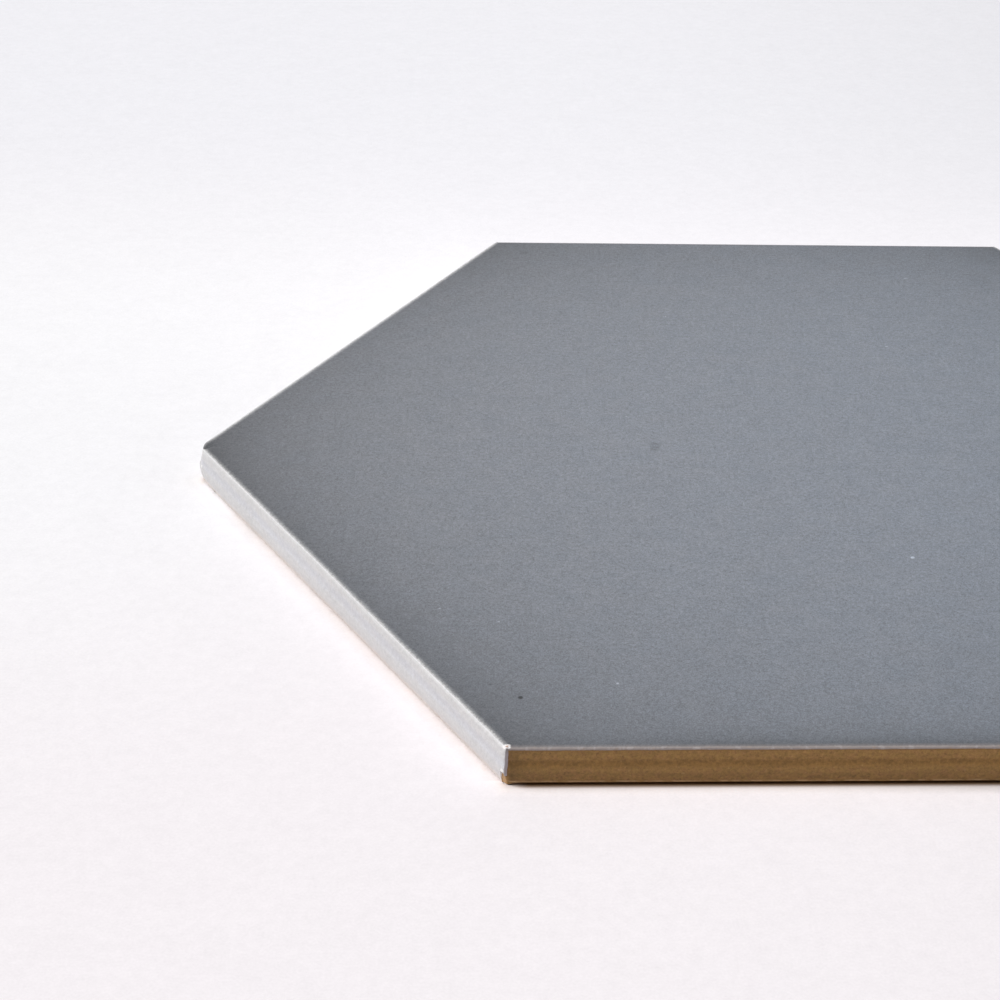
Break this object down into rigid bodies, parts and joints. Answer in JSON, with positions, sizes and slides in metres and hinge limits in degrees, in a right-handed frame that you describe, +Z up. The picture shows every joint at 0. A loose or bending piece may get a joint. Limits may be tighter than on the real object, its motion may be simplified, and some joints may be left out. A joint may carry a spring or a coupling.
{
  "type": "hexagon floor tile",
  "caption": "Glazed hexagonal ceramic floor tile lying face up, blue-grey satin face, bare clay front and back edges.",
  "frame": {"origin": "centre of the underside, on the plane that beds on the adhesive", "axes": "+Z up out of the glazed face; +X through a corner, parallel to the two bare sides; +Y towards the back bare side"},
  "size_m": [0.2494, 0.2164, 0.008],
  "materials": {
    "glazed_body": "satin"
  },
  "bodies": {
    "root": {"hexagon_tile": "glazed_body"}
  },
  "joints": []
}
